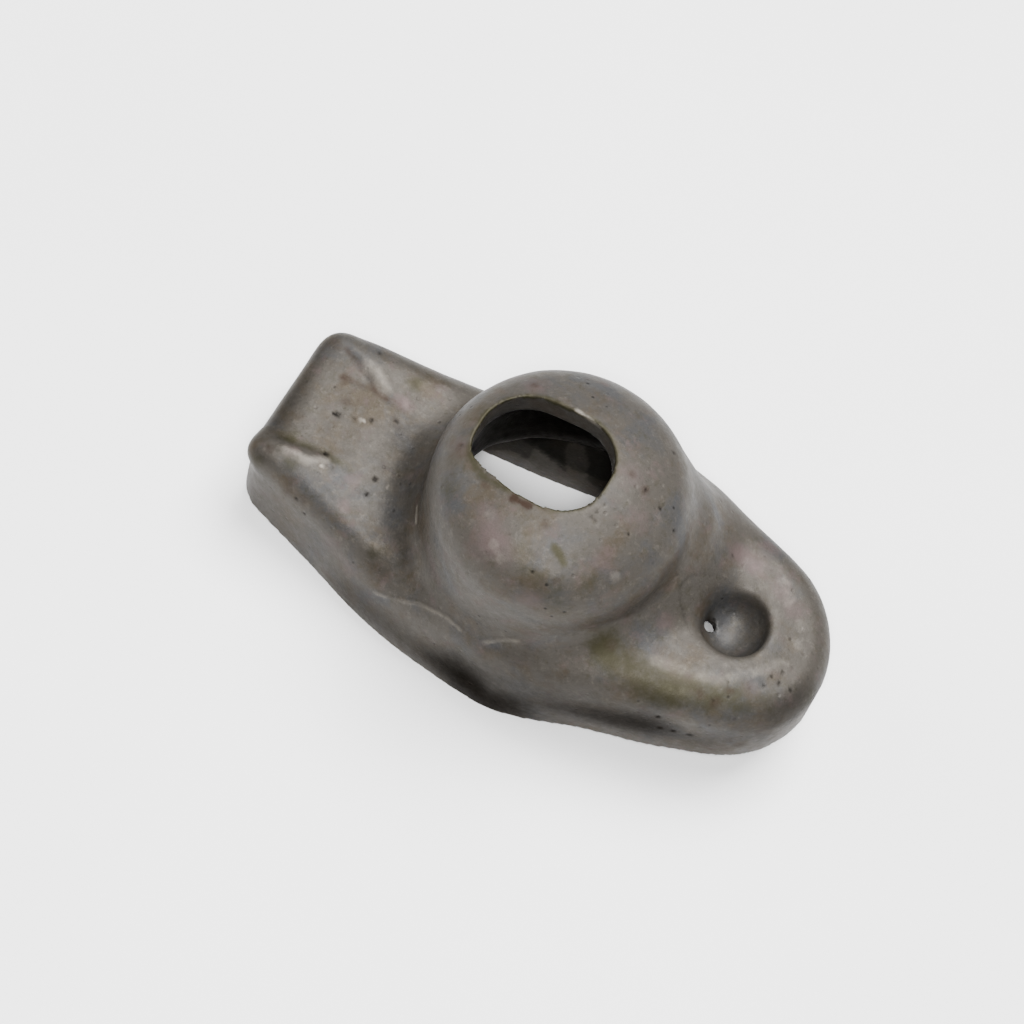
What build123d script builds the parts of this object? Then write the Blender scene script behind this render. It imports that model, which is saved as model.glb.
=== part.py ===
from build123d import *
import math
import os

# Ball-pivot rocker arm, drawn from one piece of sheet steel (millimetres).
# X runs along the arm, with the valve tip at -X and the pushrod cup at +X. Z runs
# along the press stroke, and the origin is the centre of the ball seat. The arm
# lies open side down, so the flat stretch of its free edge is its lowest place.

# ---- sheet -------------------------------------------------------------------
SHEET = 3.3                # thickness of the drawn sheet
BEND_R = 4.0               # outer bend between the floor and the wall
SKIRT_R = 4.6              # outer fillet round the foot of the dome
SKIRT_EASE = 1.9           # what the inner fillet there adds to the outer one

# ---- ball seat dome --------------------------------------------------------------------
DOME_R = 16.0              # outer radius of the dome at its equator
DOME_RISE = 9.6            # outer crown above the equator
DOME_SHOULDER_R = 7.2      # outer radius between the flank and the crown

# ---- plan outline ---------------------------------------------------------------
TIP_REACH = 36.7           # ball seat centre to the valve tip edge
TIP_HALF = 10.4            # half width at the valve end
TIP_CORNER_R = 4.4         # plan corner at the valve end
SHOULDER_REACH = 4.6       # ball seat centre to the widest place of the wall
SHOULDER_EASE = 3.3        # from the dome's flank to the wall there, before its corner is rounded
SHOULDER_HALF = DOME_R + SHOULDER_EASE
SHOULDER_CORNER_R = 30.0   # plan corner there
CUP_EASE = 9.0             # from the dome's flank to the centre of the pushrod cup
CUP_REACH = DOME_R + CUP_EASE
CUP_END_R = 12.7           # round end about the pushrod cup

# ---- side view --------------------------------------------------------------------
CREST_REACH = 31.9         # ball seat centre to the crest of the valve end
CREST_Z = -8.4             # floor at that crest
TIP_FALL = 0.5             # fall of the floor from the crest to the tip edge
ROLL_R = 30.0              # roll of the valve end over its crest
SADDLE_Z = -11.7           # floor where it meets the dome, valve side
NECK_Z = -6.0              # floor where it meets the dome, cup side
CUP_Z = -5.9               # floor round the pushrod cup
LEVEL_RUN = 2.4            # level floor past the cup centre
CUP_END_FALL = 2.4         # fall of the floor from there to the rounded end
CUP_END_ROLL_R = 22.0      # roll of the floor into that fall

# ---- free edge, seen from the side ---------------------------------------------------
EDGE_Z = -23.8             # flat stretch that the arm lies on
TIP_EDGE_REACH = 27.0      # ball seat centre to where it starts to rise, valve side
TIP_EDGE_Z = -21.8         # free edge at the valve tip
EDGE_REACH = 2.8           # ball seat centre to where it starts to rise, cup side
CUP_EDGE_Z = -16.4         # free edge at the cup end
EDGE_CORNER_R = 12.0       # rounding of the free edge at both places

# ---- stud slot ---------------------------------------------------------------------------
SLOT_LENGTH = 16.4
SLOT_WIDTH = 12.8
SLOT_SHIFT = 3.8           # slot centre towards the valve tip
SLOT_CORNER_R = 5.6

# ---- pushrod cup ---------------------------------------------------------------------------
CUP_BALL_R = 4.2           # seat for the pushrod's 5/16 inch ball end
CUP_RIM_R = 0.9            # rounding of the rim
CUP_WALL = 2.6             # steel left round the cup
DISH_R = 5.6               # struck facet beside the cup
DISH_DEPTH = 0.55
DISH_SHIFT = 1.6           # facet centre from the cup centre, inboard
OIL_HOLE_D = 1.7
OIL_HOLE_SHIFT = 2.6       # oil hole centre from the cup centre, inboard

# ---- valve pad -------------------------------------------------------------------------------
PAD_TIP_HALF = 7.0         # half width of the coined trough at the tip
PAD_NECK_HALF = 5.2        # half width where it runs out
PAD_LENGTH = 12.0          # from the tip edge to where it runs out
PAD_DEPTH = 0.75           # depth below the cheeks at the tip
CHEEK_LEAN = 50.0          # lean of the trough's sides in degrees

# ---- working values ----------------------------------------------------------------------------
OVER = 12.0                # how far the cutting bodies run past the sheet
NEAR = SHEET / 10          # how near a place has to be to count as found
DEEP = EDGE_Z - 2 * OVER   # bottom of the working bodies
HIGH = DOME_RISE + OVER    # top of the working bodies
SIDE = SHOULDER_HALF + OVER


def side_prism(points, radii, closing):
    """Prism across the arm under a side line of lines and arcs, closed by more points."""
    with BuildSketch(Plane.XZ.offset(-SIDE)) as sketch:
        with BuildLine():
            FilletPolyline(*points, radius=radii)
            Polyline(points[-1], *closing, points[0])
        make_face()
    return extrude(sketch.sketch, amount=2 * SIDE)


def corners_at(sketch, x):
    """Corners of a sketch that lie at a distance along its first axis."""
    return [corner for corner in sketch.vertices() if abs(corner.X - x) < NEAR]


def plan_outline():
    """Outer plan outline of the wall."""
    reach = CUP_REACH - SHOULDER_REACH
    lean = math.acos(CUP_END_R / math.hypot(reach, SHOULDER_HALF))
    turn = math.atan2(SHOULDER_HALF, -reach) - lean
    touch = (CUP_REACH + CUP_END_R * math.cos(turn), CUP_END_R * math.sin(turn))
    with BuildSketch() as sketch:
        with BuildLine():
            Line((-TIP_REACH, -TIP_HALF), (-TIP_REACH, TIP_HALF))
            Line((-TIP_REACH, TIP_HALF), (SHOULDER_REACH, SHOULDER_HALF))
            Line((SHOULDER_REACH, SHOULDER_HALF), touch)
            ThreePointArc(touch, (CUP_REACH + CUP_END_R, 0), (touch[0], -touch[1]))
            Line((touch[0], -touch[1]), (SHOULDER_REACH, -SHOULDER_HALF))
            Line((SHOULDER_REACH, -SHOULDER_HALF), (-TIP_REACH, -TIP_HALF))
        make_face()
        fillet(corners_at(sketch, -TIP_REACH), TIP_CORNER_R)
        fillet(corners_at(sketch, SHOULDER_REACH), SHOULDER_CORNER_R)
    return sketch.sketch


def wall_body(inset):
    """Prism inside the wall's outer skin, or its inner skin where there is an inset."""
    outline = offset(plan_outline(), amount=-inset)
    return Pos(0, 0, DEEP) * extrude(outline, amount=HIGH - DEEP)


def floor_body(inset):
    """Everything below the floor, lowered by the inset."""
    far = TIP_REACH + OVER
    tip_slope = TIP_FALL / (TIP_REACH - CREST_REACH)
    end_reach = CUP_REACH + LEVEL_RUN
    end_slope = CUP_END_FALL / (CUP_END_R - LEVEL_RUN)
    line = [
        (-far, CREST_Z - tip_slope * (far - CREST_REACH)),
        (-CREST_REACH, CREST_Z),
        (SHEET - DOME_R, SADDLE_Z),
        (DOME_R - SHEET, NECK_Z),
        (end_reach, CUP_Z),
        (far, CUP_Z - end_slope * (far - end_reach)),
    ]
    line = [(x, z - inset) for x, z in line]
    return side_prism(line, [ROLL_R, SHEET, SHEET, CUP_END_ROLL_R], [(far, DEEP), (-far, DEEP)])


def dome_body(inset):
    """Domed ball seat on a straight flank: two tangent arcs, revolved."""
    run = DOME_R - DOME_SHOULDER_R
    crown_r = (run**2 + DOME_RISE**2 - DOME_SHOULDER_R**2) / (2 * (DOME_RISE - DOME_SHOULDER_R))
    drop = crown_r - DOME_RISE
    turn = math.degrees(math.atan2(drop, run))
    foot = EDGE_Z + OVER / 2
    with BuildSketch(Plane.XZ) as sketch:
        with BuildLine():
            CenterArc((run, 0), DOME_SHOULDER_R - inset, 0, turn)
            CenterArc((0, -drop), crown_r - inset, turn, 90 - turn)
            Polyline((0, DOME_RISE - inset), (0, foot), (DOME_R - inset, foot), (DOME_R - inset, 0))
        make_face()
    return revolve(sketch.sketch, Axis.Z)


def skin(inset):
    """Solid bounded by the arm's outer skin, or its inner skin where there is an inset."""
    tray = floor_body(inset) & wall_body(inset)
    tray = fillet([e for e in tray.edges() if is_top_edge(e)], BEND_R - inset)
    arm = tray + dome_body(inset)
    foot = [e for e in arm.edges() if is_dome_foot(e, DOME_R - inset)]
    return fillet(foot, SKIRT_R + (SKIRT_EASE if inset else 0))


def is_top_edge(edge):
    """True for an edge round the floor, well above the bottom of the working body."""
    return min((edge @ t).Z for t in (0, 0.5, 1)) > EDGE_Z


def is_dome_foot(edge, radius):
    """True for an edge where the dome's flank meets the floor or the bend."""
    spots = [edge @ t for t in (0, 0.25, 0.5, 0.75, 1)]
    on_flank = all(abs(math.hypot(p.X, p.Y) - radius) < NEAR / 10 for p in spots)
    return on_flank and max(p.Z for p in spots) < -SHEET / 2 and edge.length > NEAR / 10


def trim_body():
    """Everything above the free edge."""
    far = TIP_REACH + 2 * OVER
    tip_slope = (TIP_EDGE_Z - EDGE_Z) / (TIP_REACH - TIP_EDGE_REACH)
    cup_slope = (CUP_EDGE_Z - EDGE_Z) / (CUP_REACH + CUP_END_R - EDGE_REACH)
    line = [
        (-far, EDGE_Z + tip_slope * (far - TIP_EDGE_REACH)),
        (-TIP_EDGE_REACH, EDGE_Z),
        (EDGE_REACH, EDGE_Z),
        (far, EDGE_Z + cup_slope * (far - EDGE_REACH)),
    ]
    return side_prism(line, EDGE_CORNER_R, [(far, HIGH), (-far, HIGH)])


def slot_cutter():
    """Elongated hole for the rocker stud."""
    with BuildSketch() as sketch:
        with Locations((-SLOT_SHIFT, 0)):
            RectangleRounded(SLOT_LENGTH, SLOT_WIDTH, SLOT_CORNER_R)
    return extrude(sketch.sketch, amount=HIGH)


def cup_boss():
    """Bulge inside the arm that backs the pushrod cup."""
    return Pos(CUP_REACH, 0, CUP_Z) * Sphere(CUP_BALL_R + CUP_WALL) & floor_body(0)


def cup_cutter():
    """Half-ball hollow of the pushrod cup, with its rounded rim."""
    mouth_r = CUP_BALL_R + CUP_RIM_R
    with BuildSketch(Plane.XZ) as sketch:
        with BuildLine():
            CenterArc((0, -CUP_RIM_R), CUP_BALL_R, -90, 90)
            CenterArc((mouth_r, -CUP_RIM_R), CUP_RIM_R, 180, -90)
            Polyline((mouth_r, 0), (0, 0), (0, -CUP_RIM_R - CUP_BALL_R))
        make_face()
    return Pos(CUP_REACH, 0, CUP_Z) * revolve(sketch.sketch, Axis.Z)


def oil_hole():
    """Drilled hole through the inboard side of the cup."""
    return Pos(CUP_REACH - OIL_HOLE_SHIFT, 0, CUP_Z) * Cylinder(OIL_HOLE_D / 2, 2 * OVER)


def dish_cutter():
    """Shallow struck facet beside the cup rim."""
    ball_r = (DISH_R**2 + DISH_DEPTH**2) / (2 * DISH_DEPTH)
    cap = Pos(0, 0, ball_r) * Sphere(ball_r) & Cylinder(DISH_R, 4 * DISH_DEPTH)
    return Pos(CUP_REACH - DISH_SHIFT, 0, CUP_Z - DISH_DEPTH) * cap


def pad_cutter():
    """Coined trough at the valve end, deepest at the tip, between leaning cheeks."""
    run_out = -TIP_REACH + PAD_LENGTH
    outer = -TIP_REACH - OVER
    deep = CREST_Z - TIP_FALL - PAD_DEPTH
    floor_slope = (CREST_Z - SADDLE_Z) / (CREST_REACH - DOME_R + SHEET)
    shallow = CREST_Z - floor_slope * (CREST_REACH + run_out)
    half = [(outer, PAD_TIP_HALF), (-TIP_REACH, PAD_TIP_HALF), (run_out, PAD_NECK_HALF)]
    with BuildSketch(Plane.XY.offset(deep)) as plan:
        with BuildLine():
            Polyline(*half, *[(x, -y) for x, y in reversed(half)], close=True)
        make_face()
    trough = extrude(plan.sketch, amount=OVER / 2, taper=-CHEEK_LEAN)
    line = [(outer, deep - OVER / 2), (-TIP_REACH, deep), (run_out, shallow)]
    return trough & side_prism(line, BEND_R, [(run_out, HIGH), (outer, HIGH)])


def main():
    """Draws the arm, trims and pierces it, and writes it out."""
    arm = skin(0) - skin(SHEET)
    arm = (arm + cup_boss()) & trim_body()
    arm = arm - slot_cutter() - pad_cutter()
    arm = arm - dish_cutter() - cup_cutter() - oil_hole()
    os.makedirs("parts", exist_ok=True)
    export_step(arm.solid(), "parts/rocker_arm.step")


main()
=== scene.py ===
"""A ball-pivot rocker arm drawn from one sheet of steel, on its floor, with the light and the camera."""
import logging
import math
from dataclasses import dataclass, field
from enum import Enum

import bpy
from mathutils import Matrix, Vector, noise
from mathutils.bvhtree import BVHTree
from mathutils.kdtree import KDTree


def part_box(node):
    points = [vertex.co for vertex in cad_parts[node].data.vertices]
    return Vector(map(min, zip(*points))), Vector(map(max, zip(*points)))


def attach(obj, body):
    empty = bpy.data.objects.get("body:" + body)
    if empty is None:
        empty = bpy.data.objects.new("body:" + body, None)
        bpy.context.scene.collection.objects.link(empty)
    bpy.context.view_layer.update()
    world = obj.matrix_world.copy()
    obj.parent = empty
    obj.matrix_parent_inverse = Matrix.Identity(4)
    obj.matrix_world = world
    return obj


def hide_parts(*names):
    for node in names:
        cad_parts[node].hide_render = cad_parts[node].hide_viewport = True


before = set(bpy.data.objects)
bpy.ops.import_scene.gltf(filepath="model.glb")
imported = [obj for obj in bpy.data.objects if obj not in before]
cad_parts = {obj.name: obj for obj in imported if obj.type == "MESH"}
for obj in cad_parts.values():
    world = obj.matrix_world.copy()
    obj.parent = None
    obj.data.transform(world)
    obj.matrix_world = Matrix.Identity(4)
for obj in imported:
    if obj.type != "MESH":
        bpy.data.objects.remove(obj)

LOG = logging.getLogger("rocker_arm")

MM = 0.001
NODE = "rocker_arm"
BODY = "root"

PACE = 3.0                 # columns or rows between two points of a stroke
UP = Vector((0.0, 0.0, 1.0))

Colour = tuple[float, float, float, float]
Sight = tuple[float, float]        # column and row in the camera's frame
Place = tuple[float, float, float]


class Paint(Enum):
    """What a mark leaves on the steel; the value names the mesh attribute that carries it."""

    # Besides real marks, the first paint below also lays painted highlights, the second lays painted shade
    # in a crease and round the slot's rim, and the last lays painted shade on walls, valleys and closed-in
    # places.
    RUB_AND_HIGHLIGHT = "rub_and_highlight"
    OIL_AND_SHADE = "oil_and_shade"
    RUST = "rust"
    ROSE = "rose"
    DARK = "dark"


def falloff(distance: float, reach: float) -> float:
    """Gives a soft bell of height one.

    Args:
        distance: how far the spot lies from the middle.
        reach: where the bell ends.

    Returns:
        One in the middle, zero from the reach outwards.
    """
    if distance >= reach:
        return 0.0
    share = 1.0 - (distance / reach) ** 2
    return share * share


def step(low: float, high: float, value: float) -> float:
    """Rises smoothly from zero to one.

    Args:
        low: where the rise starts.
        high: where it ends.
        value: the value to place on it.

    Returns:
        A number from zero to one.
    """
    share = min(max((value - low) / (high - low), 0.0), 1.0)
    return share * share * (3.0 - 2.0 * share)


@dataclass(frozen=True)
class Viewpoint:
    """The camera's place, and the lines of sight through its square frame (millimetres and degrees)."""

    azimuth: float = 10.06
    elevation: float = 63.4
    roll: float = 20.5
    distance: float = 408.0
    target: Sight = (561.4, 497.0)
    focal: float = 3452.0
    frame_side: float = 1024.0
    sensor: float = 36.0
    clip: tuple[float, float] = (10.0, 20000.0)

    def axes(self) -> tuple[Vector, Vector, Vector]:
        """Works out the camera's own axes.

        Returns:
            Right, up and backward unit vectors.
        """
        around = math.radians(self.azimuth)
        above = math.radians(self.elevation)
        turn = math.radians(self.roll)
        flat = math.cos(above)
        back = Vector((math.sin(around) * flat, -math.cos(around) * flat, math.sin(above)))
        level = Vector((math.cos(around), math.sin(around), 0.0))
        upright = back.cross(level)
        right = level * math.cos(turn) + upright * math.sin(turn)
        return right, back.cross(right), back

    def eye(self) -> Vector:
        """Gives the camera's place in millimetres."""
        return self.axes()[2] * self.distance

    def middle(self) -> Vector:
        """Works out where to aim, so that the origin falls on the target.

        Returns:
            The point that the camera looks at, in millimetres.
        """
        right, up, _ = self.axes()
        scale = self.distance / self.focal
        half = self.frame_side / 2
        return right * ((half - self.target[0]) * scale) + up * ((self.target[1] - half) * scale)

    def turned(self) -> tuple[Vector, Vector, Vector]:
        """Works out the axes of the camera as it is aimed.

        Returns:
            Right, up and backward unit vectors.
        """
        right, up, _ = self.axes()
        back = (self.eye() - self.middle()).normalized()
        side = up.cross(back).normalized()
        return side, back.cross(side), back

    def sight(self, place: Sight) -> Vector:
        """Gives the line of sight through a place in the frame.

        Args:
            place: column and row in the frame.

        Returns:
            The unit direction from the eye.
        """
        right, up, back = self.turned()
        half = self.frame_side / 2
        across = (place[0] - half) / self.focal
        above = (half - place[1]) / self.focal
        return (right * across + up * above - back).normalized()

    def build(self) -> bpy.types.Object:
        """Adds the camera and makes it the scene's own.

        Returns:
            The camera object.
        """
        right, up, back = self.turned()
        bpy.ops.object.camera_add(location=self.eye() * MM)
        camera = bpy.context.object
        camera.name = "camera"
        place = Matrix((right, up, back)).transposed().to_4x4()
        place.translation = self.eye() * MM
        camera.matrix_world = place
        camera.data.sensor_width = self.sensor
        camera.data.lens = self.focal * self.sensor / self.frame_side
        camera.data.clip_start, camera.data.clip_end = (length * MM for length in self.clip)
        bpy.context.scene.camera = camera
        return camera


class Graph:
    """The shader nodes of one material."""

    def __init__(self, name: str) -> None:
        """Starts a material with its surface shader.

        Args:
            name: the material's name.
        """
        self.material = bpy.data.materials.new(name)
        self.material.use_nodes = True
        self.tree = self.material.node_tree
        self.shader = self.tree.nodes["Principled BSDF"]
        self.place = self.tree.nodes.new("ShaderNodeTexCoord").outputs["Object"]

    def feed(self, socket: bpy.types.NodeSocket, value: object) -> None:
        """Sets a socket to a number or colour, or links it to another socket.

        Args:
            socket: the input to feed.
            value: a number, a colour or an output socket.
        """
        if isinstance(value, bpy.types.NodeSocket):
            self.tree.links.new(value, socket)
        else:
            socket.default_value = value

    def noise(
        self, size: float, detail: float = 4.0, rough: float = 0.55, warp: float = 0.0
    ) -> bpy.types.NodeSocket:
        """Adds a cloudy pattern.

        Args:
            size: the width of one cloud in millimetres.
            detail: how many finer layers it has.
            rough: how strong the finer layers are.
            warp: how far it is stirred.

        Returns:
            The socket that gives zero to one.
        """
        node = self.tree.nodes.new("ShaderNodeTexNoise")
        self.feed(node.inputs["Vector"], self.place)
        self.feed(node.inputs["Scale"], 1.0 / (size * MM))
        self.feed(node.inputs["Detail"], detail)
        self.feed(node.inputs["Roughness"], rough)
        self.feed(node.inputs["Distortion"], warp)
        return node.outputs[0]

    def cells(self, size: float) -> bpy.types.NodeSocket:
        """Adds a pattern of scattered spots.

        Args:
            size: how far apart the spots are in millimetres.

        Returns:
            The distance to the nearest spot.
        """
        node = self.tree.nodes.new("ShaderNodeTexVoronoi")
        self.feed(node.inputs["Vector"], self.place)
        self.feed(node.inputs["Scale"], 1.0 / (size * MM))
        return node.outputs["Distance"]

    def attribute(self, paint: Paint) -> bpy.types.NodeSocket:
        """Reads the mesh attribute that a paint is kept in.

        Args:
            paint: the paint.

        Returns:
            Its amount, from zero to one.
        """
        node = self.tree.nodes.new("ShaderNodeAttribute")
        node.attribute_name = paint.value
        return node.outputs["Fac"]

    def band(self, value: bpy.types.NodeSocket, low: float, high: float) -> bpy.types.NodeSocket:
        """Stretches the part of a pattern between two levels over zero to one.

        Args:
            value: the pattern.
            low: the level that becomes zero.
            high: the level that becomes one.

        Returns:
            The stretched pattern.
        """
        node = self.tree.nodes.new("ShaderNodeMapRange")
        node.interpolation_type = "SMOOTHSTEP"
        self.feed(node.inputs["Value"], value)
        self.feed(node.inputs["From Min"], low)
        self.feed(node.inputs["From Max"], high)
        return node.outputs["Result"]

    def math(self, how: str, first: object, second: object) -> bpy.types.NodeSocket:
        """Combines two numbers or patterns.

        Args:
            how: the operation, such as MULTIPLY or ADD.
            first: the first number or pattern.
            second: the second one.

        Returns:
            The combined pattern.
        """
        node = self.tree.nodes.new("ShaderNodeMath")
        node.operation = how
        self.feed(node.inputs[0], first)
        self.feed(node.inputs[1], second)
        return node.outputs[0]

    def scaled(self, value: object, most: float, least: float) -> bpy.types.NodeSocket:
        """Multiplies a pattern and adds a number to it.

        Args:
            value: the pattern.
            most: what it is multiplied by.
            least: what is added then.

        Returns:
            The scaled pattern.
        """
        result = self.math("MULTIPLY_ADD", value, most)
        result.node.inputs[2].default_value = least
        return result

    def mix(self, share: object, under: object, over: object) -> bpy.types.NodeSocket:
        """Lays one colour over another.

        Args:
            share: how much of the upper colour shows.
            under: the lower colour.
            over: the upper colour.

        Returns:
            The mixed colour.
        """
        node = self.tree.nodes.new("ShaderNodeMix")
        node.data_type = "RGBA"
        self.feed(node.inputs[0], share)
        self.feed(node.inputs[6], under)
        self.feed(node.inputs[7], over)
        return node.outputs[2]

    def bump(self, height: bpy.types.NodeSocket, depth: float, under: object = None) -> bpy.types.NodeSocket:
        """Raises the surface by a pattern.

        Args:
            height: the pattern.
            depth: its full height in millimetres.
            under: a normal to add it to.

        Returns:
            The bent normal.
        """
        node = self.tree.nodes.new("ShaderNodeBump")
        node.inputs["Distance"].default_value = depth * MM
        self.feed(node.inputs["Height"], height)
        if under is not None:
            self.feed(node.inputs["Normal"], under)
        return node.outputs["Normal"]


@dataclass(frozen=True)
class Cloud:
    """Patches of one tone in the steel's colour, shown where a noise lies between two levels."""

    size: float
    low: float
    high: float
    tone: Colour
    most: float
    detail: float = 4.0
    rough: float = 0.7
    warp: float = 0.0


@dataclass(frozen=True)
class DrawnSteel:
    """Satin grey-brown steel with a stained, pitted skin (colours are linear, sizes in millimetres)."""

    name: str = "drawn_steel"
    base: Colour = (0.0405, 0.0363, 0.0312, 1.0)
    warm: Colour = (0.0365, 0.0285, 0.0195, 1.0)
    cool: Colour = (0.0305, 0.0315, 0.0335, 1.0)
    rose: Colour = (0.056, 0.0415, 0.0395, 1.0)
    # Of these tones, the pale one also lays painted highlights, the olive-black one also lays painted shade
    # in a crease and round the slot's rim, and the near-black one mostly lays painted shade, besides pits
    # and specks.
    pale_and_highlight: Colour = (0.120, 0.108, 0.092, 1.0)
    oil_and_shade: Colour = (0.021, 0.019, 0.010, 1.0)
    rust: Colour = (0.017, 0.0095, 0.006, 1.0)
    soot_and_shade: Colour = (0.004, 0.0035, 0.003, 1.0)
    edge: Colour = (0.5, 0.49, 0.48, 1.0)
    metal: float = 0.3
    dark_metal: float = 0.65
    sheen: float = 0.22
    rag_size: float = 1.4
    rag_start: float = 0.25
    pin_gap: float = 2.1
    pin_patch: float = 6.0
    pin_depth: float = 0.03
    pin_dark: float = 0.8
    gloss_size: float = 1.2
    least_rough: float = 0.32
    rough_range: float = 0.34
    rub_shine: float = 0.08
    rust_dull: float = 0.12
    peel: tuple[float, float] = (1.8, 0.06)
    grain: tuple[float, float] = (0.35, 0.02)

    def material(self) -> bpy.types.Material:
        """Builds the shader.

        Returns:
            The finished material.
        """
        graph = Graph(self.name)
        inputs = graph.shader.inputs
        graph.feed(inputs["Base Color"], self.pins(graph, self.stains(graph, self.tones(graph))))
        dark = graph.attribute(Paint.DARK)
        # Where shade is painted the steel turns more metallic too, which darkens it further.
        graph.feed(inputs["Metallic"], graph.scaled(dark, self.dark_metal, self.metal))
        graph.feed(inputs["Specular IOR Level"], self.sheen)
        graph.feed(inputs["Specular Tint"], self.edge)
        graph.feed(inputs["Roughness"], self.gloss(graph))
        graph.feed(inputs["Normal"], self.relief(graph))
        return graph.material

    def clouds(self) -> tuple[Cloud, ...]:
        """Lists the clouds from the widest to the grain.

        Returns:
            The clouds, in the order in which they are laid.
        """
        return (
            Cloud(5.0, 0.46, 0.66, self.warm, 0.8, 6.0, 0.66),
            Cloud(7.0, 0.48, 0.7, self.cool, 0.8, 6.0, 0.62, 0.4),
            Cloud(2.4, 0.52, 0.74, self.rose, 0.6, 6.0, 0.68),
            Cloud(0.9, 0.52, 0.72, self.pale_and_highlight, 0.17),
            Cloud(0.42, 0.56, 0.76, self.pale_and_highlight, 0.15),
            Cloud(1.3, 0.52, 0.72, self.oil_and_shade, 0.4),
            Cloud(0.5, 0.54, 0.74, self.soot_and_shade, 0.26),
        )

    def tones(self, graph: Graph) -> bpy.types.NodeSocket:
        """Lays the clouds over the base.

        Args:
            graph: the material's nodes.

        Returns:
            The clouded colour.
        """
        colour = self.base
        for cloud in self.clouds():
            pattern = graph.noise(cloud.size, cloud.detail, cloud.rough, cloud.warp)
            share = graph.math("MULTIPLY", graph.band(pattern, cloud.low, cloud.high), cloud.most)
            colour = graph.mix(share, colour, cloud.tone)
        return colour

    def stains(self, graph: Graph, colour: bpy.types.NodeSocket) -> bpy.types.NodeSocket:
        """Lays the rubbed, oily, rusty and rosy places, the dark pits, and the painted shade and painted
        highlights over the clouds.

        Args:
            graph: the material's nodes.
            colour: the clouds.

        Returns:
            The stained colour.
        """
        ragged = graph.math("SUBTRACT", graph.noise(self.rag_size, 6.0, 0.7), 0.5)
        for paint, tone, torn in (
            (Paint.ROSE, self.rose, 1.3),
            (Paint.OIL_AND_SHADE, self.oil_and_shade, 1.2),
            (Paint.RUST, self.rust, 1.1),
            (Paint.RUB_AND_HIGHLIGHT, self.pale_and_highlight, 1.0),
            (Paint.DARK, self.soot_and_shade, 0.35),
        ):
            amount = graph.attribute(paint)
            edge = graph.math("ADD", amount, graph.math("MULTIPLY", ragged, torn))
            start = graph.band(amount, 0.0, self.rag_start)
            share = graph.math("MULTIPLY", graph.band(edge, 0.0, 1.0), start)
            colour = graph.mix(share, colour, tone)
        return colour

    def pins(self, graph: Graph, colour: bpy.types.NodeSocket) -> bpy.types.NodeSocket:
        """Adds dark pin pits, in patches only.

        Args:
            graph: the material's nodes.
            colour: the stained colour.

        Returns:
            The pitted colour.
        """
        spot = graph.band(graph.cells(self.pin_gap), 0.15, 0.05)
        patch = graph.band(graph.noise(self.pin_patch, 3.0), 0.5, 0.64)
        share = graph.math("MULTIPLY", graph.math("MULTIPLY", spot, patch), self.pin_dark)
        return graph.mix(share, colour, self.soot_and_shade)

    def gloss(self, graph: Graph) -> bpy.types.NodeSocket:
        """Makes an uneven satin: rubbed places shine, rusty ones are dull.

        Args:
            graph: the material's nodes.

        Returns:
            The roughness.
        """
        rough = graph.scaled(graph.noise(self.gloss_size, 5.0, 0.65), self.rough_range, self.least_rough)
        shine = graph.math("MULTIPLY", graph.attribute(Paint.RUB_AND_HIGHLIGHT), self.rub_shine)
        dull = graph.math("MULTIPLY", graph.attribute(Paint.RUST), self.rust_dull)
        return graph.math("ADD", graph.math("SUBTRACT", rough, shine), dull)

    def relief(self, graph: Graph) -> bpy.types.NodeSocket:
        """Adds orange-peel, a fine grain and pin pits that are too small for the mesh.

        Args:
            graph: the material's nodes.

        Returns:
            The bent normal.
        """
        normal = graph.bump(graph.noise(self.peel[0], 4.0, 0.55), self.peel[1])
        normal = graph.bump(graph.noise(self.grain[0], 4.0, 0.7), self.grain[1], normal)
        return graph.bump(graph.band(graph.cells(self.pin_gap), 0.04, 0.16), self.pin_depth, normal)


@dataclass(frozen=True)
class PaleFloor:
    """Plain matt white-grey floor."""

    name: str = "pale_floor"
    tone: Colour = (0.86, 0.86, 0.86, 1.0)
    fleck: Colour = (0.83, 0.83, 0.83, 1.0)
    fleck_size: float = 60.0
    rough: float = 0.75

    def material(self) -> bpy.types.Material:
        """Builds the shader.

        Returns:
            The finished material.
        """
        graph = Graph(self.name)
        colour = graph.mix(graph.band(graph.noise(self.fleck_size, 2.0), 0.3, 0.7), self.tone, self.fleck)
        graph.feed(graph.shader.inputs["Base Color"], colour)
        graph.feed(graph.shader.inputs["Roughness"], self.rough)
        return graph.material


@dataclass(frozen=True)
class Mark:
    """A spot or stroke on the skin, placed by where the camera sees it (sizes in millimetres)."""

    path: tuple[Sight, ...]
    reach: float
    depth: float
    paint: Paint
    strength: float


def spots(
    places: tuple[Sight, ...], reach: float, depth: float, paint: Paint, strength: float
) -> list[Mark]:
    """Makes single spots that are alike.

    Args:
        places: where the camera sees them.
        reach: how wide each one spreads in millimetres.
        depth: how deep each one goes in millimetres.
        paint: what it leaves.
        strength: how much of it.

    Returns:
        One mark for each place.
    """
    return [Mark((place,), reach, depth, paint, strength) for place in places]


@dataclass(frozen=True)
class Knock:
    """A place where the whole sheet was pushed over, inner skin and all (millimetres)."""

    middle: Place
    reach: Place
    push: Place

    def share(self, spot: Vector) -> float:
        """Works out how much of the push a point of the sheet takes.

        Args:
            spot: the point in millimetres.

        Returns:
            A number from zero to one.
        """
        away = [(value - centre) / reach for value, centre, reach in zip(spot, self.middle, self.reach)]
        return falloff(math.hypot(*away), 1.0)


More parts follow.
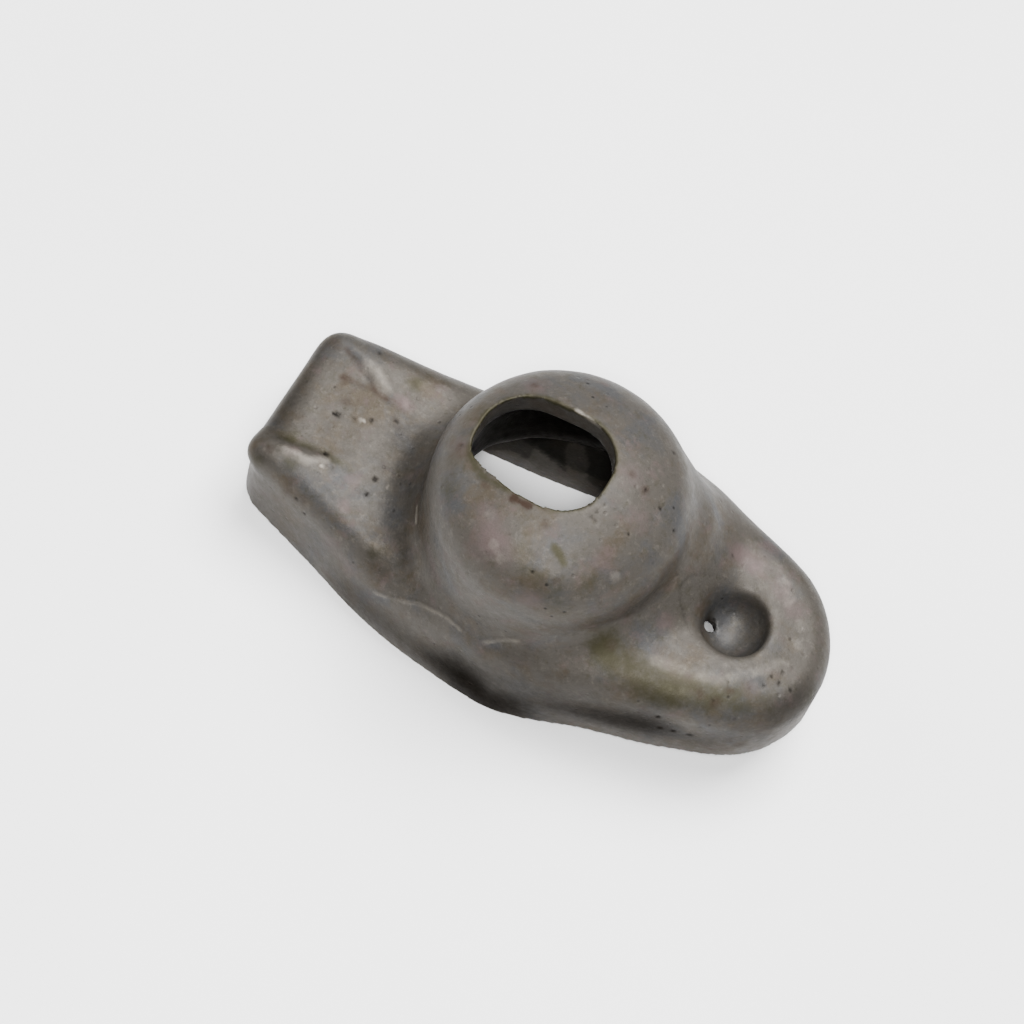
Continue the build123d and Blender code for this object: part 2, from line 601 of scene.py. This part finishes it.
@dataclass(frozen=True)
class Easing:
    """A ring or a spot where the press left no sharp edge (millimetres; a spot is a ring of no radius)."""

    middle: Place
    radius: float
    reach: tuple[float, float]
    rounds: int
    core: float = 0.6

    def share(self, spot: Vector) -> float:
        """Works out how strongly a point of the sheet is smoothed.

        Args:
            spot: the point in millimetres.

        Returns:
            One up to the core's share of the reach, zero from the reach outwards.
        """
        x, y, z = (value - centre for value, centre in zip(spot, self.middle))
        away = math.hypot((math.hypot(x, y) - self.radius) / self.reach[0], z / self.reach[1])
        return 1.0 - step(self.core, 1.0, away)


@dataclass
class Skin:
    """The arm's skin as it is worked, with the surface that marks are found on and the painted amounts."""

    piece: bpy.types.Object
    view: Viewpoint
    amounts: dict[Paint, list[float]] = field(default_factory=dict)

    def __post_init__(self) -> None:
        """Reads the mesh and starts with no marks on it."""
        self.read()
        self.shift = [0.0] * len(self.spots)
        for paint in Paint:
            self.amounts[paint] = [0.0] * len(self.spots)

    def read(self) -> None:
        """Reads the mesh as it is now and makes the search trees."""
        mesh = self.piece.data
        self.spots = [vertex.co / MM for vertex in mesh.vertices]
        self.normals = [vertex.normal.copy() for vertex in mesh.vertices]
        self.surface = BVHTree.FromPolygons(self.spots, [face.vertices[:] for face in mesh.polygons])
        self.tree = KDTree(len(self.spots))
        for index, spot in enumerate(self.spots):
            self.tree.insert(spot, index)
        self.tree.balance()

    def seen(self, place: Sight) -> Vector | None:
        """Finds the point of the skin that shows at a place in the frame.

        Args:
            place: column and row in the frame.

        Returns:
            The point in millimetres, or None where the skin doesn't show.
        """
        return self.surface.ray_cast(self.view.eye(), self.view.sight(place))[0]

    def route(self, mark: Mark) -> list[Vector]:
        """Follows a mark's path over the skin in short steps.

        Args:
            mark: the mark.

        Returns:
            The points along it, in millimetres.
        """
        places = [mark.path[0]]
        for start, end in zip(mark.path, mark.path[1:]):
            steps = max(1, round(math.dist(start, end) / PACE))
            places += [
                tuple(first + (last - first) * number / steps for first, last in zip(start, end))
                for number in range(1, steps + 1)
            ]
        return [spot for spot in map(self.seen, places) if spot is not None]

    def knock(self, knocks: tuple[Knock, ...]) -> None:
        """Pushes the sheet over and searches the moved skin from then on.

        Args:
            knocks: the places that are pushed.
        """
        mesh = self.piece.data
        for vertex in mesh.vertices:
            spot = vertex.co / MM
            for knock in knocks:
                spot += Vector(knock.push) * knock.share(vertex.co / MM)
            vertex.co = spot * MM
        mesh.update()
        self.read()

    def strike(self, mark: Mark) -> None:
        """Presses and paints one mark into the skin.

        Args:
            mark: the mark.
        """
        nearest: dict[int, float] = {}
        for spot in self.route(mark):
            for _, index, distance in self.tree.find_range(spot, mark.reach):
                nearest[index] = min(distance, nearest.get(index, mark.reach))
        for index, distance in nearest.items():
            share = falloff(distance, mark.reach)
            self.shift[index] -= mark.depth * share
            self.amounts[mark.paint][index] += mark.strength * share

    def settle(self, low: Vector, high: Vector) -> None:
        """Moves the skin by what was struck into it and keeps it within the arm's own box.

        Args:
            low: the lowest corner in metres.
            high: the highest corner in metres.
        """
        mesh = self.piece.data
        for vertex, spot, normal, shift in zip(mesh.vertices, self.spots, self.normals, self.shift):
            place = (spot + normal * shift) * MM
            vertex.co = [min(max(value, least), most) for value, least, most in zip(place, low, high)]

    def keep_paint(self) -> None:
        """Writes the painted amounts to the mesh's attributes."""
        for paint, amount in self.amounts.items():
            layer = self.piece.data.attributes.new(name=paint.value, type="FLOAT", domain="POINT")
            layer.data.foreach_set("value", [min(max(value, 0.0), 1.0) for value in amount])


@dataclass(frozen=True)
class ValveEnd:
    """The coined trough at the valve end, with its creases, cheeks and pits."""

    near_crease: tuple[Sight, ...] = (
        (280, 434), (293, 441), (308, 445), (327, 453), (338, 461), (350, 469),
    )
    near_cheek: tuple[Sight, ...] = ((287, 449), (300, 456), (308, 461), (325, 459))
    far_crease: tuple[Sight, ...] = (
        (347, 349), (355, 361), (365, 372), (376, 388), (388, 399), (400, 406),
    )
    far_cheek: tuple[Sight, ...] = ((368, 366), (377, 373), (385, 390))
    far_fold: tuple[Sight, ...] = ((343, 376), (357, 383), (375, 391), (386, 398))
    shade: tuple[Sight, ...] = ((408, 440), (398, 475), (392, 515), (388, 552))
    pad_shade: tuple[Sight, ...] = ((300, 420), (345, 440), (372, 420), (400, 390), (420, 385))
    tip_shade: tuple[Sight, ...] = ((264, 452), (285, 417), (308, 372), (324, 347))
    dark_pits: tuple[Sight, ...] = (
        (334, 413), (338, 414), (371, 420), (375, 479), (296, 499), (304, 514), (367, 494), (326, 453),
    )
    faint_pits: tuple[Sight, ...] = ((354, 418), (397, 421), (283, 498), (333, 468), (380, 353))
    bright: tuple[Sight, ...] = ((388, 487), (360, 420), (364, 421), (322, 466))
    rusty: tuple[Sight, ...] = (
        (346, 402), (334, 366), (344, 380), (268, 449), (290, 480), (288, 492), (336, 345), (304, 500),
    )
    olive: tuple[Sight, ...] = ((421, 382), (412, 384), (290, 463), (257, 461), (375, 553), (293, 434))
    rosy: tuple[Sight, ...] = ((400, 401), (408, 406), (352, 480), (345, 505), (293, 449))

    def marks(self) -> list[Mark]:
        """Lists what was struck into this end.

        Returns:
            The strokes and spots.
        """
        marks = [
            # The near crease's dark stroke is painted shade in the crease, and the near cheek's pale stroke
            # is a painted highlight on the ridge; both are also pressed into the sheet.
            Mark(self.near_crease, 1.1, 0.07, Paint.OIL_AND_SHADE, 0.55),
            Mark(self.near_cheek, 1.3, -0.08, Paint.RUB_AND_HIGHLIGHT, 0.4),
            Mark(self.far_crease, 0.9, 0.12, Paint.RUST, 0.4),
            Mark(self.far_cheek, 1.6, -0.1, Paint.RUB_AND_HIGHLIGHT, 0.42),
            Mark(self.far_fold, 0.7, 0.05, Paint.RUST, 0.4),
            Mark(self.shade, 5.5, 0.0, Paint.DARK, 0.42),
            Mark(self.pad_shade, 9.0, 0.0, Paint.DARK, 0.17),
            Mark(self.tip_shade, 3.5, 0.0, Paint.DARK, 0.28),
        ]
        marks += spots(self.dark_pits, 0.5, 0.1, Paint.DARK, 0.9)
        marks += spots(self.faint_pits, 0.5, 0.05, Paint.DARK, 0.5)
        marks += spots(self.bright, 0.4, 0.0, Paint.RUB_AND_HIGHLIGHT, 0.9)
        marks += spots(self.rusty, 1.5, 0.0, Paint.RUST, 0.35)
        marks += spots(self.olive, 1.9, 0.0, Paint.OIL_AND_SHADE, 0.45)
        marks += spots(self.rosy, 1.7, 0.0, Paint.ROSE, 0.6)
        return marks


@dataclass(frozen=True)
class BallSeat:
    """The dome over the pivot ball, with the stud slot in its crown."""

    olive_run: tuple[Sight, ...] = ((554, 547), (561, 556), (564, 563))
    olive: tuple[Sight, ...] = (
        (532, 575), (548, 590), (450, 490), (455, 455), (590, 585), (560, 610), (522, 548), (477, 412),
    )
    rosy: tuple[Sight, ...] = (
        (487, 517), (495, 535), (503, 553), (478, 548), (536, 386), (530, 600), (632, 474), (605, 560),
        (640, 520), (460, 447),
    )
    cream_and_highlight: tuple[Sight, ...] = ((489, 516), (494, 545), (501, 558), (615, 578))
    rusty: tuple[Sight, ...] = (
        (486, 484), (513, 498), (528, 505), (460, 447), (535, 385), (546, 524), (632, 474), (646, 490),
        (556, 582),
    )
    slot_dirt: tuple[Sight, ...] = ((513, 498), (521, 502), (529, 506))
    chip: tuple[Sight, ...] = ((417, 508), (416, 522))
    foot_shade: tuple[Sight, ...] = ((436, 590), (452, 606), (475, 622), (500, 634), (520, 640))
    far_rim_pale_line: tuple[Sight, ...] = ((577, 410), (590, 420), (599, 427))
    pits: tuple[Sight, ...] = (
        (590, 506), (597, 512), (604, 505), (592, 517), (661, 508), (646, 490), (674, 453), (596, 522),
        (674, 531), (629, 534), (532, 572),
    )

    def marks(self) -> list[Mark]:
        """Lists what was struck into the dome.

        Returns:
            The strokes and spots.
        """
        marks = [
            Mark(self.olive_run, 0.9, 0.03, Paint.OIL_AND_SHADE, 1.0),
            Mark(self.slot_dirt, 0.7, 0.06, Paint.RUST, 0.9),
            Mark(self.chip, 0.45, -0.05, Paint.RUB_AND_HIGHLIGHT, 1.0),
            Mark(self.foot_shade, 4.5, 0.0, Paint.DARK, 0.24),
            # A thin pale line along the far rim of the slot.
            Mark(self.far_rim_pale_line, 0.5, 0.0, Paint.RUB_AND_HIGHLIGHT, 0.8),
        ]
        marks += spots(self.olive, 3.0, 0.0, Paint.OIL_AND_SHADE, 0.35)
        marks += spots(self.rosy, 3.0, 0.0, Paint.ROSE, 0.5)
        # Pale spots on the dome's lower left, partly the dome's cream tone and partly a painted highlight.
        marks += spots(self.cream_and_highlight, 1.4, 0.0, Paint.RUB_AND_HIGHLIGHT, 0.35)
        marks += spots(self.rusty, 1.1, 0.0, Paint.RUST, 0.5)
        marks += spots(self.pits, 0.4, 0.08, Paint.DARK, 0.8)
        return marks


@dataclass(frozen=True)
class PushrodCup:
    """The cup for the pushrod's ball end, with the struck facet beside it and the bend round it."""

    facet_edge: tuple[Sight, ...] = (
        (717, 575), (700, 574), (688, 577), (681, 586), (680, 600), (684, 618), (690, 632),
    )
    ridge: tuple[Sight, ...] = ((676, 587), (665, 601), (650, 614), (636, 628))
    olive_bend: tuple[Sight, ...] = (
        (604, 642), (622, 664), (645, 676), (672, 684), (700, 694), (735, 696),
    )
    bend_highlight: tuple[Sight, ...] = (
        (655, 660), (680, 669), (705, 676), (724, 681), (740, 676), (762, 671), (784, 664),
    )
    rosy: tuple[Sight, ...] = (
        (747, 558), (760, 568), (735, 550), (782, 590), (665, 622), (750, 690), (795, 610), (770, 548),
    )
    end_highlight: tuple[Sight, ...] = ((790, 600), (800, 625), (798, 645), (783, 583))
    olive: tuple[Sight, ...] = ((640, 700), (668, 700), (765, 700), (810, 700), (600, 655))
    dark_pits: tuple[Sight, ...] = (
        (728, 682), (772, 676), (779, 683), (764, 686), (783, 672), (660, 728), (673, 731), (690, 735),
        (658, 717),
    )
    faint_pits: tuple[Sight, ...] = (
        (687, 661), (750, 688), (792, 668), (700, 727), (713, 700), (733, 556), (790, 690), (803, 655),
    )
    rusty: tuple[Sight, ...] = ((611, 646), (700, 694), (716, 703), (730, 690), (740, 745))

    def marks(self) -> list[Mark]:
        """Lists what was struck into the cup end.

        Returns:
            The strokes and spots.
        """
        marks = [
            Mark(self.facet_edge, 0.38, 0.03, Paint.DARK, 0.3),
            Mark(self.ridge, 0.8, -0.06, Paint.RUB_AND_HIGHLIGHT, 0.12),
            Mark(self.olive_bend, 3.8, 0.0, Paint.OIL_AND_SHADE, 0.7),
            # Painted highlight along the near bend under the cup.
            Mark(self.bend_highlight, 1.5, 0.0, Paint.RUB_AND_HIGHLIGHT, 0.32),
        ]
        marks += spots(self.rosy, 2.4, 0.0, Paint.ROSE, 0.6)
        # Painted highlight round the bend at the cup end.
        marks += spots(self.end_highlight, 1.7, 0.0, Paint.RUB_AND_HIGHLIGHT, 0.3)
        marks += spots(self.olive, 3.0, 0.0, Paint.OIL_AND_SHADE, 0.4)
        marks += spots(self.dark_pits, 0.5, 0.08, Paint.DARK, 0.8)
        marks += spots(self.faint_pits, 0.45, 0.04, Paint.DARK, 0.5)
        marks += spots(self.rusty, 1.3, 0.0, Paint.RUST, 0.5)
        return marks


@dataclass(frozen=True)
class Wall:
    """The drawn wall, with the lines that the draw left on it."""

    draw_line: tuple[Sight, ...] = ((374, 593), (391, 599), (421, 605), (446, 617), (460, 629))
    foot_line: tuple[Sight, ...] = ((484, 642), (504, 640), (518, 641))
    scratch: tuple[Sight, ...] = ((418, 637), (432, 648), (441, 659))
    shoulder_shade: tuple[Sight, ...] = ((448, 664), (466, 684), (484, 700), (505, 706))
    wall_shade: tuple[Sight, ...] = ((480, 675), (520, 688), (580, 704), (640, 718))
    edge_shade: tuple[Sight, ...] = (
        (345, 592), (380, 622), (415, 650), (450, 678), (490, 704), (560, 714), (640, 727), (712, 743),
        (765, 734), (800, 708),
    )
    lilac: tuple[Sight, ...] = ((428, 550), (434, 575), (330, 545), (350, 570))

    def marks(self) -> list[Mark]:
        """Lists what was struck into the wall.

        Returns:
            The strokes and spots.
        """
        marks = [
            Mark(self.draw_line, 0.6, -0.09, Paint.RUB_AND_HIGHLIGHT, 0.4),
            Mark(self.foot_line, 0.6, -0.07, Paint.RUB_AND_HIGHLIGHT, 0.4),
            Mark(self.scratch, 0.4, 0.04, Paint.RUB_AND_HIGHLIGHT, 0.3),
            Mark(self.shoulder_shade, 6.0, 0.0, Paint.DARK, 0.42),
            Mark(self.wall_shade, 7.0, 0.0, Paint.DARK, 0.5),
            Mark(self.edge_shade, 5.5, 0.0, Paint.DARK, 0.45),
        ]
        marks += spots(self.lilac, 3.0, 0.0, Paint.ROSE, 0.4)
        return marks


@dataclass
class RockerArm:
    """The whole arm: one piece of drawn sheet, worked from its plain form (millimetres)."""

    view: Viewpoint
    finish: DrawnSteel = field(default_factory=DrawnSteel)
    name: str = "arm_skin"
    areas: tuple = (ValveEnd(), BallSeat(), PushrodCup(), Wall())
    seam: float = 0.002
    halvings: int = 8
    fill: float = 0.78
    even_rounds: int = 6
    evenness: float = 0.5
    swell: float = 0.11
    swell_size: float = 9.0
    swell_bias: float = 0.35
    ripple: float = 0.04
    ripple_size: float = 2.6
    ripple_start: Place = (7.0, 3.0, 5.0)
    shelter_rays: int = 14
    shelter_reach: float = 26.0
    shelter_lift: float = 0.3
    # How the painted shade rises with how closed in a place is, under steel and in the open.
    inner_shade: tuple[tuple[float, float, float], ...] = ((0.55, 0.15, 0.35), (0.4, 0.2, 0.6))
    outer_shade: tuple[float, float] = (0.4, 0.9)
    slot_middle: float = -3.8
    slot_sides: tuple[float, float] = (16.4, 12.8)
    slot_corner: float = 5.6
    rim_reach: float = 0.9
    # How dark the ring of painted shade round the slot's rim is.
    rim_shade: float = 0.8
    crown_tilt: float = 0.1
    cup_middle: Place = (25.0, 0.0, -7.0)
    cup_reach: float = 7.0
    cup_edge: float = 0.3
    # How much of the painted shade is left off in the pushrod cup.
    cup_shade_cut: float = 0.75
    easings: tuple[Easing, ...] = (
        Easing((-29.0, 0.0, -9.5), 0.0, (11.0, 6.0), 45),
        Easing((-36.0, -6.0, -9.5), 0.0, (7.0, 4.0), 30),
        Easing((-36.0, 6.0, -9.5), 0.0, (7.0, 4.0), 30),
        Easing((-36.7, 0.0, -10.5), 0.0, (11.0, 4.0), 50),
        Easing((25.0, 0.0, -6.2), 4.6, (2.6, 2.6), 22),
        Easing((0.0, 0.0, -8.0), 17.5, (6.0, 7.0), 70),
    )
    blends: tuple[Easing, ...] = (
        Easing((14.5, 6.5, -3.5), 0.0, (14.0, 10.0), 140),
        Easing((17.5, -2.0, -5.0), 0.0, (7.0, 6.0), 30),
    )
    knocks: tuple[Knock, ...] = (
        Knock((-13.0, -15.5, -21.0), (21.0, 6.0, 10.0), (-0.1, -1.5, 0.0)),
        Knock((-20.0, 14.0, -9.0), (13.0, 5.0, 8.0), (0.0, -0.4, 0.0)),
        Knock((15.5, 5.0, -6.0), (7.5, 13.0, 7.0), (0.4, 0.2, 2.2)),
        Knock((12.0, 10.0, -3.5), (10.0, 9.0, 6.5), (1.5, 1.2, 1.0)),
        Knock((16.0, 2.0, -4.0), (8.0, 9.0, 6.0), (1.2, 0.2, 0.8)),
        Knock((34.0, -2.0, -16.0), (6.0, 14.0, 9.0), (0.5, -0.1, 0.0)),
        Knock((14.0, -9.0, -8.0), (9.0, 8.0, 6.0), (0.3, -0.2, 1.0)),
        Knock((-35.5, -9.5, -10.0), (4.5, 4.5, 5.0), (-1.0, -0.5, 0.3)),
        Knock((-35.5, 9.0, -9.0), (4.5, 4.0, 5.0), (-0.3, 0.3, 0.3)),
        Knock((14.0, -16.5, -21.0), (13.0, 5.0, 6.0), (0.0, 0.5, 0.3)),
        Knock((-5.0, 16.0, -22.0), (20.0, 6.0, 11.0), (0.0, -1.5, 0.0)),
        Knock((-7.8, -5.5, 7.0), (4.5, 4.0, 4.0), (0.3, 0.8, 0.1)),
    )

    def build(self) -> bpy.types.Object:
        """Makes the worn skin.

        Returns:
            The finished mesh object.
        """
        low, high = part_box(NODE)
        piece = self.copy_form()
        self.refine(piece)
        Skin(piece, self.view).knock(self.knocks)
        self.ease(piece, self.blends)
        skin = Skin(piece, self.view)
        self.weather(skin)
        for area in self.areas:
            for mark in area.marks():
                skin.strike(mark)
        self.shelter(skin)
        skin.settle(low, high)
        skin.keep_paint()
        return piece

    def copy_form(self) -> bpy.types.Object:
        """Copies the plain form and closes its seams.

        Returns:
            The copy, a closed mesh.
        """
        bpy.ops.object.select_all(action="DESELECT")
        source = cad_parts[NODE]
        source.select_set(True)
        bpy.context.view_layer.objects.active = source
        bpy.ops.object.duplicate()
        piece = bpy.context.object
        piece.name = self.name
        piece.data.name = self.name
        piece.parent = None
        piece.matrix_world = Matrix.Identity(4)
        piece.data.materials.clear()
        bpy.ops.object.mode_set(mode="EDIT")
        bpy.ops.mesh.select_all(action="SELECT")
        bpy.ops.mesh.remove_doubles(threshold=self.seam * MM)
        bpy.ops.object.mode_set(mode="OBJECT")
        return piece

    def refine(self, piece: bpy.types.Object) -> None:
        """Covers the form with small even faces and takes the sharpness off its edges.

        Args:
            piece: the mesh object.
        """
        remesh = piece.modifiers.new("even_faces", "REMESH")
        remesh.mode = "SHARP"
        remesh.octree_depth = self.halvings
        remesh.scale = self.fill
        remesh.use_remove_disconnected = False
        bpy.ops.object.modifier_apply(modifier=remesh.name)
        self.mend_pinches()
        self.smooth(piece, self.even_rounds)
        self.ease(piece, self.easings)
        bpy.ops.object.shade_smooth()

    def mend_pinches(self) -> None:
        """Closes up the few edges where four faces meet, so that the skin stays one clean shell."""
        bpy.ops.object.mode_set(mode="EDIT")
        bpy.ops.mesh.select_mode(type="EDGE")
        bpy.ops.mesh.select_all(action="DESELECT")
        bpy.ops.mesh.select_non_manifold()
        bpy.ops.mesh.merge(type="COLLAPSE")
        bpy.ops.mesh.select_mode(type="VERT")
        bpy.ops.object.mode_set(mode="OBJECT")

    def ease(self, piece: bpy.types.Object, easings: tuple[Easing, ...]) -> None:
        """Smooths the mesh in places only.

        Args:
            piece: the mesh object.
            easings: the places.
        """
        for easing in easings:
            group = piece.vertex_groups.new(name="easing")
            for vertex in piece.data.vertices:
                share = easing.share(vertex.co / MM)
                if share > 0.0:
                    group.add([vertex.index], share, "REPLACE")
            self.smooth(piece, easing.rounds, group.name)
            piece.vertex_groups.clear()

    def smooth(self, piece: bpy.types.Object, rounds: int, group: str = "") -> None:
        """Smooths the mesh.

        Args:
            piece: the mesh object.
            rounds: how many times to smooth it.
            group: the vertex group to stay within, if any.
        """
        smooth = piece.modifiers.new("smooth", "SMOOTH")
        smooth.factor = self.evenness
        smooth.iterations = rounds
        smooth.vertex_group = group
        bpy.ops.object.modifier_apply(modifier=smooth.name)

    def weather(self, skin: Skin) -> None:
        """Gives the sheet the slight unevenness of a drawn and knocked part.

        Args:
            skin: the arm's skin.
        """
        start = Vector(self.ripple_start)
        for index, spot in enumerate(skin.spots):
            broad = noise.noise(spot / self.swell_size)
            fine = noise.noise(spot / self.ripple_size + start)
            skin.shift[index] += self.swell * (broad - self.swell_bias) + self.ripple * fine

    def rays(self) -> list[Vector]:
        """Spreads directions evenly over the half sphere above a face.

        Returns:
            The unit directions, for a face that looks up.
        """
        golden = math.pi * (3.0 - math.sqrt(5.0))
        rays = []
        for number in range(self.shelter_rays):
            height = 1.0 - (number + 0.5) / self.shelter_rays
            width = math.sqrt(1.0 - height * height)
            angle = golden * number
            rays.append(Vector((math.cos(angle) * width, math.sin(angle) * width, height)))
        return rays

    def shelter(self, skin: Skin) -> None:
        """Paints shade that darkens what lies deep inside the arm and other closed-in places, and paints a
        dark ring of shade round the slot's rim.

        Args:
            skin: the arm's skin.
        """
        rays = self.rays()
        middle = Vector(self.cup_middle)
        for index, (spot, normal) in enumerate(zip(skin.spots, skin.normals)):
            turn = normal.to_track_quat("Z", "Y")
            start = spot + normal * self.shelter_lift
            hits = [skin.surface.ray_cast(start, turn @ ray, self.shelter_reach)[0] for ray in rays]
            # Painted shade: the more of a place's view is closed in, the darker it is painted, less so in
            # the pushrod cup.
            closed = sum(hit is not None for hit in hits) / self.shelter_rays
            roofed = skin.surface.ray_cast(start, UP)[0] is not None
            in_cup = step(0.0, self.cup_edge, falloff((spot - middle).length, self.cup_reach))
            skin.amounts[Paint.DARK][index] += self.soot_and_shade(closed, roofed) * (1.0 - self.cup_shade_cut * in_cup)
            # A dark ring of painted shade round the slot's rim on the crown, which dulls its highlight.
            on_crown = spot.z > 0.0 and normal.z > self.crown_tilt
            edge = abs(self.slot_distance(spot)) if on_crown else self.rim_reach
            skin.amounts[Paint.OIL_AND_SHADE][index] += self.rim_shade * falloff(edge, self.rim_reach)

    def soot_and_shade(self, closed: float, roofed: bool) -> float:
        """Works out how much painted shade a place gets from what stands round it.

        Args:
            closed: how much of its view is closed in, from zero to one.
            roofed: whether there is steel right above it.

        Returns:
            The darkness, from zero to one.
        """
        if roofed:
            return sum(most * step(low, high, closed) for most, low, high in self.inner_shade)
        return step(*self.outer_shade, closed)

    def slot_distance(self, spot: Vector) -> float:
        """Works out how far a point lies from the rim of the stud slot, seen from above.

        Args:
            spot: the point in millimetres.

        Returns:
            The distance, negative inside the slot.
        """
        half_x, half_y = (side / 2 - self.slot_corner for side in self.slot_sides)
        over_x = abs(spot.x - self.slot_middle) - half_x
        over_y = abs(spot.y) - half_y
        outside = math.hypot(max(over_x, 0.0), max(over_y, 0.0))
        return outside + min(max(over_x, over_y), 0.0) - self.slot_corner

    def dress(self, piece: bpy.types.Object) -> None:
        """Puts the steel on the arm and hands it to the frame.

        Args:
            piece: the finished mesh object.
        """
        piece.data.materials.append(self.finish.material())
        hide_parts(NODE)
        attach(piece, BODY)


@dataclass(frozen=True)
class SoftLight:
    """One square soft light (millimetres and watts)."""

    name: str
    place: Place
    side: float
    power: float

    def build(self) -> bpy.types.Object:
        """Adds the light, aimed at the arm.

        Returns:
            The light object.
        """
        bpy.ops.object.light_add(type="AREA", location=Vector(self.place) * MM)
        lamp = bpy.context.object
        lamp.name = self.name
        lamp.data.shape = "SQUARE"
        lamp.data.size = self.side * MM
        lamp.data.energy = self.power
        lamp.rotation_euler = Vector(self.place).to_track_quat("Z", "Y").to_euler()
        return lamp


@dataclass(frozen=True)
class Studio:
    """The floor that the arm lies on and the light that falls on it (millimetres)."""

    finish: PaleFloor = PaleFloor()
    floor_side: float = 4000.0
    sky: Colour = (1.0, 1.0, 1.0, 1.0)
    sky_strength: float = 0.24
    lights: tuple[SoftLight, ...] = (
        SoftLight("key_light", (60.0, 240.0, 580.0), 420.0, 13.8),
        SoftLight("left_light", (-420.0, -60.0, 300.0), 260.0, 1.2),
        SoftLight("slot_light", (47.0, -265.0, 536.0), 90.0, 7.0),
    )

    def build(self) -> bpy.types.Object:
        """Lays the floor and hangs the lights.

        Returns:
            The floor object.
        """
        low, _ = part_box(NODE)
        bpy.ops.mesh.primitive_plane_add(size=1.0)
        floor = bpy.context.object
        floor.name = "floor"
        bpy.ops.object.mode_set(mode="EDIT")
        bpy.ops.mesh.select_all(action="SELECT")
        bpy.ops.transform.resize(value=(self.floor_side * MM,) * 3)
        bpy.ops.transform.translate(value=(0.0, 0.0, low.z))
        bpy.ops.object.mode_set(mode="OBJECT")
        floor.data.materials.append(self.finish.material())
        for light in self.lights:
            light.build()
        world = bpy.data.worlds.new("studio")
        world.use_nodes = True
        inputs = world.node_tree.nodes["Background"].inputs
        inputs["Color"].default_value = self.sky
        inputs["Strength"].default_value = self.sky_strength
        bpy.context.scene.world = world
        return floor


def main() -> None:
    """Builds the arm, the studio and the camera in order."""
    logging.basicConfig(level=logging.INFO, format="%(name)s: %(message)s")
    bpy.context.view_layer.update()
    view = Viewpoint()
    view.build()
    LOG.info("camera placed")
    arm = RockerArm(view)
    piece = arm.build()
    arm.dress(piece)
    LOG.info("arm skin built with %d faces", len(piece.data.polygons))
    Studio().build()
    LOG.info("floor and lights placed")


if __name__ == "__main__":
    main()
